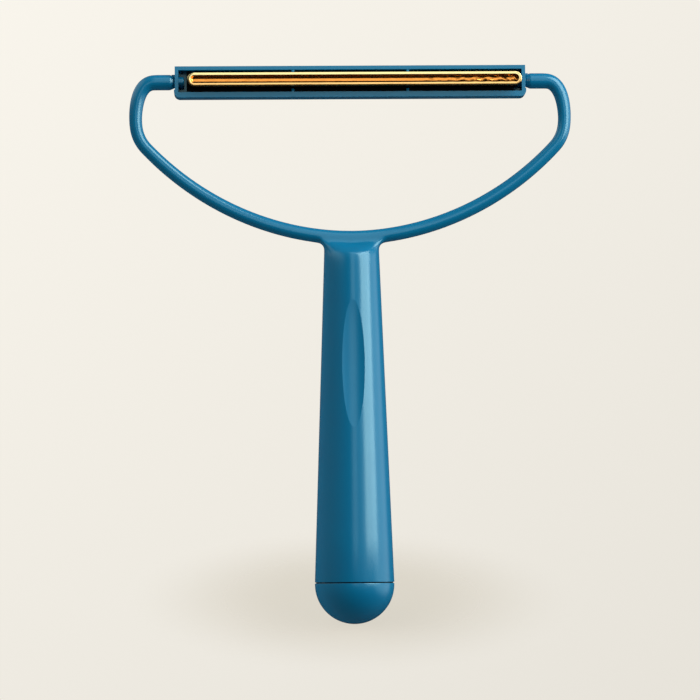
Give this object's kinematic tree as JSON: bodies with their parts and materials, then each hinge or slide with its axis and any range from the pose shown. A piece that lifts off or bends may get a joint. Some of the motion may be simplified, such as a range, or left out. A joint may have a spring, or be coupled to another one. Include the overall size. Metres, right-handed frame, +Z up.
{
  "type": "lint remover",
  "caption": "Hand lint remover: a round tapered handle and a D-shaped bow carry a swivelling bar head with a raised brass scraping blade.",
  "frame": {"origin": "lowest point of the round end cap, on the handle's axis", "axes": "+Z up along the handle towards the head, the blade faces -Y, +X to the right seen from the front; the head swivels about +X"},
  "size_m": [0.1348, 0.024, 0.1697],
  "materials": {
    "blue_plastic": "satin-gloss moulded ABS in petrol blue",
    "black_plastic": "matte moulded black plastic",
    "brass": "bright pressed brass with a slightly wavy trough"
  },
  "bodies": {
    "handle": {"bow_handle": "blue_plastic", "end_cap": "blue_plastic"},
    "head": {"head_housing": "blue_plastic", "blade_carrier": "black_plastic", "blade": "brass"}
  },
  "joints": [
    {"name": "head_swivel", "type": "hinge", "parent": "handle", "child": "head", "pos_m": [0, 0, 0.1651], "axis": [1, 0, 0], "range_deg": [-25, 25]}
  ]
}
